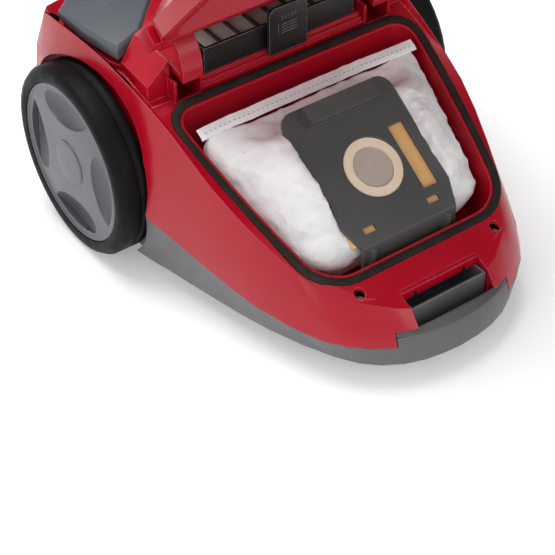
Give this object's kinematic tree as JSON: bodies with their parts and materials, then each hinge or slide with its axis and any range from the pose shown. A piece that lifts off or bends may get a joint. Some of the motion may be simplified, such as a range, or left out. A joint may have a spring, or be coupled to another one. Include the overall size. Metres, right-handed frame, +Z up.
{
  "type": "canister vacuum cleaner",
  "caption": "Low canister vacuum cleaner with two large rear wheels, its hinged lid open over a dust bag, bag carrier and pleated filter.",
  "frame": {"origin": "on the floor, under the middle of the whole outline", "axes": "+Z up, the nose and its grip point to -Y, the wheels' axles run along X"},
  "size_m": [0.3274, 0.404, 0.3834],
  "materials": {
    "red_gloss": "glossy moulded plastic",
    "base_grey": "satin moulded plastic",
    "slate_grey": "satin moulded plastic",
    "hub_grey": "satin moulded plastic",
    "black_satin": "satin moulded plastic",
    "charcoal": "finely grained plastic",
    "rubber": "matt rubber",
    "steel": "plain steel",
    "copper": "wound copper and laminations",
    "card": "brown board",
    "cream_seal": "soft seal",
    "membrane": "soft membrane",
    "fleece": "white non-woven fleece",
    "pleats": "pleated filter paper",
    "filter_foam": "open foam",
    "board_green": "circuit board"
  },
  "bodies": {
    "body": {"base_shell": "base_grey", "top_shell": "red_gloss", "dust_chamber": "red_gloss", "lid_seal": "rubber", "latch_strike": "red_gloss", "front_grip": "charcoal", "recess_liner": "base_grey", "deck_screw_left": "steel", "deck_screw_right": "steel", "motor_grille": "charcoal", "pre_motor_filter": "filter_foam", "filter_tray": "red_gloss", "motor_housing": "steel", "motor_mount_front": "rubber", "motor_mount_rear": "rubber", "reel_axle": "steel", "cord_gland": "charcoal", "control_board": "board_green", "exhaust_grille": "charcoal", "axle_left": "steel", "axle_right": "steel", "hinge_pin_left": "steel", "hinge_pin_right": "steel", "pedal_spring_power": "steel", "pedal_spring_rewind": "steel"},
    "lid": {"lid_shell": "red_gloss", "lid_liner": "red_gloss", "hinge_arm_left": "red_gloss", "hinge_arm_right": "red_gloss", "hose_port": "charcoal", "port_gasket": "rubber", "latch_pin": "steel"},
    "latch": {"lid_latch": "charcoal"},
    "left_wheel": {"wheel_left_disc": "hub_grey", "wheel_left_tyre": "rubber", "wheel_left_cap": "hub_grey"},
    "right_wheel": {"wheel_right_disc": "hub_grey", "wheel_right_tyre": "rubber", "wheel_right_cap": "hub_grey"},
    "caster": {"caster_fork": "charcoal", "caster_axle": "steel"},
    "caster_wheel": {"caster_roller": "rubber"},
    "power_pedal": {"pedal_power": "slate_grey"},
    "rewind_pedal": {"pedal_rewind": "slate_grey"},
    "dial": {"suction_dial": "slate_grey"},
    "rotor": {"motor_rotor": "copper", "motor_fan": "charcoal", "motor_shaft": "steel"},
    "reel": {"cord_reel": "charcoal"},
    "bag_unit": {"bag_holder": "charcoal", "bag_card": "card", "inlet_ring": "cream_seal", "inlet_membrane": "membrane", "dust_bag": "fleece"},
    "filter_cassette": {"filter_frame": "black_satin", "filter_pleats": "pleats"}
  },
  "joints": [
    {"name": "lid_hinge", "type": "hinge", "parent": "body", "child": "lid", "pos_m": [0, 0.057, 0.182], "axis": [-1, 0, 0], "range_deg": [-76, 0]},
    {"name": "latch_rock", "type": "hinge", "parent": "lid", "child": "latch", "pos_m": [0, -0.09543, 0.37176], "axis": [-1, 0, 0], "range_deg": [0, 8], "stiffness_Nm_per_rad": 0.35, "springref_deg": -11.46},
    {"name": "left_wheel_spin", "type": "hinge", "parent": "body", "child": "left_wheel", "pos_m": [-0.149, 0.0951, 0.0811], "axis": [1, 0, 0], "continuous": true},
    {"name": "right_wheel_spin", "type": "hinge", "parent": "body", "child": "right_wheel", "pos_m": [0.149, 0.0951, 0.0811], "axis": [1, 0, 0], "continuous": true},
    {"name": "caster_swivel", "type": "hinge", "parent": "body", "child": "caster", "pos_m": [0, -0.118, 0.03], "axis": [0, 0, 1], "continuous": true},
    {"name": "caster_roll", "type": "hinge", "parent": "caster", "child": "caster_wheel", "pos_m": [0, -0.108, 0.0135], "axis": [1, 0, 0], "continuous": true},
    {"name": "power_press", "type": "hinge", "parent": "body", "child": "power_pedal", "pos_m": [-0.1, 0.1585, 0.183], "axis": [1, 0, 0], "range_deg": [0, 2.6], "stiffness_Nm_per_rad": 6, "springref_deg": -1.15, "deforming": ["pedal_spring_power"]},
    {"name": "rewind_press", "type": "hinge", "parent": "body", "child": "rewind_pedal", "pos_m": [0.1, 0.1585, 0.183], "axis": [1, 0, 0], "range_deg": [0, 2.6], "stiffness_Nm_per_rad": 6, "springref_deg": -1.15, "deforming": ["pedal_spring_rewind"]},
    {"name": "dial_turn", "type": "hinge", "parent": "body", "child": "dial", "pos_m": [0, 0.128, 0.1994], "axis": [0, 0, 1], "range_deg": [-135, 135]},
    {"name": "motor_spin", "type": "hinge", "parent": "body", "child": "rotor", "pos_m": [-0.04, 0.07, 0.078], "axis": [0, 1, 0], "continuous": true},
    {"name": "reel_spin", "type": "hinge", "parent": "body", "child": "reel", "pos_m": [0.066, 0.1, 0.082], "axis": [1, 0, 0], "continuous": true},
    {"name": "bag_lift", "type": "slide", "parent": "body", "child": "bag_unit", "axis": [0, 0, 1], "range_m": [0, 0.09]},
    {"name": "filter_pull", "type": "slide", "parent": "body", "child": "filter_cassette", "axis": [0, -1, 0], "range_m": [0, 0.022]}
  ]
}
